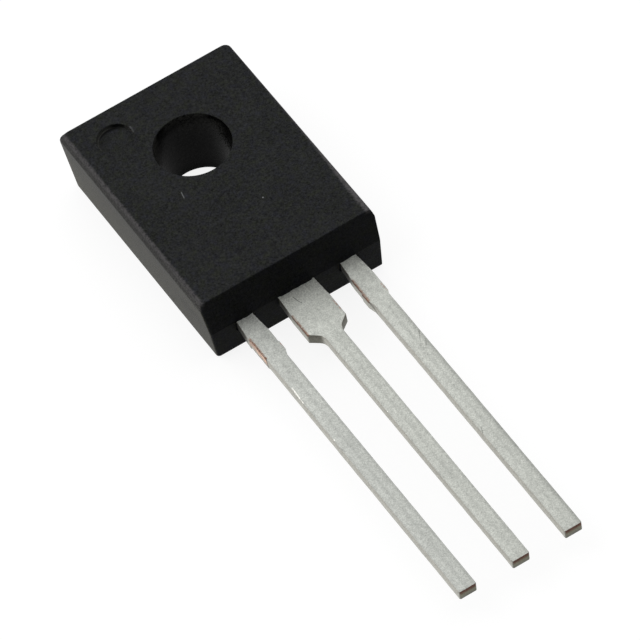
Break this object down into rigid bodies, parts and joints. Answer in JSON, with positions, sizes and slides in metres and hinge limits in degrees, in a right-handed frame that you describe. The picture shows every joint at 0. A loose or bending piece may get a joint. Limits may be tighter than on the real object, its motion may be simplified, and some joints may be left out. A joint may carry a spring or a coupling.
{
  "type": "power transistor",
  "caption": "Plastic power transistor: bevelled black case with a lined screw hole, bare metal back and straight flat leads in a row, the middle one wide at its root.",
  "frame": {"origin": "centre of the mounting hole on the flat back face", "axes": "+Z out of the front face along the hole's axis, +Y towards the hole end of the case, the leads run towards -Y, +X to the base lead"},
  "size_m": [0.0076, 0.027, 0.003],
  "materials": {
    "case_epoxy": "matt, fine spark-eroded mould grain",
    "tinned_copper": "dull tin plating, bare copper at sheared edges",
    "chip_silicon": "polished",
    "chip_solder": "satin",
    "wire_aluminium": "drawn"
  },
  "bodies": {
    "root": {"moulded_case": "case_epoxy", "collector_frame": "tinned_copper", "emitter_lead": "tinned_copper", "base_lead": "tinned_copper", "transistor_die": "chip_silicon", "die_solder": "chip_solder", "emitter_wire": "wire_aluminium", "base_wire": "wire_aluminium"}
  },
  "joints": []
}
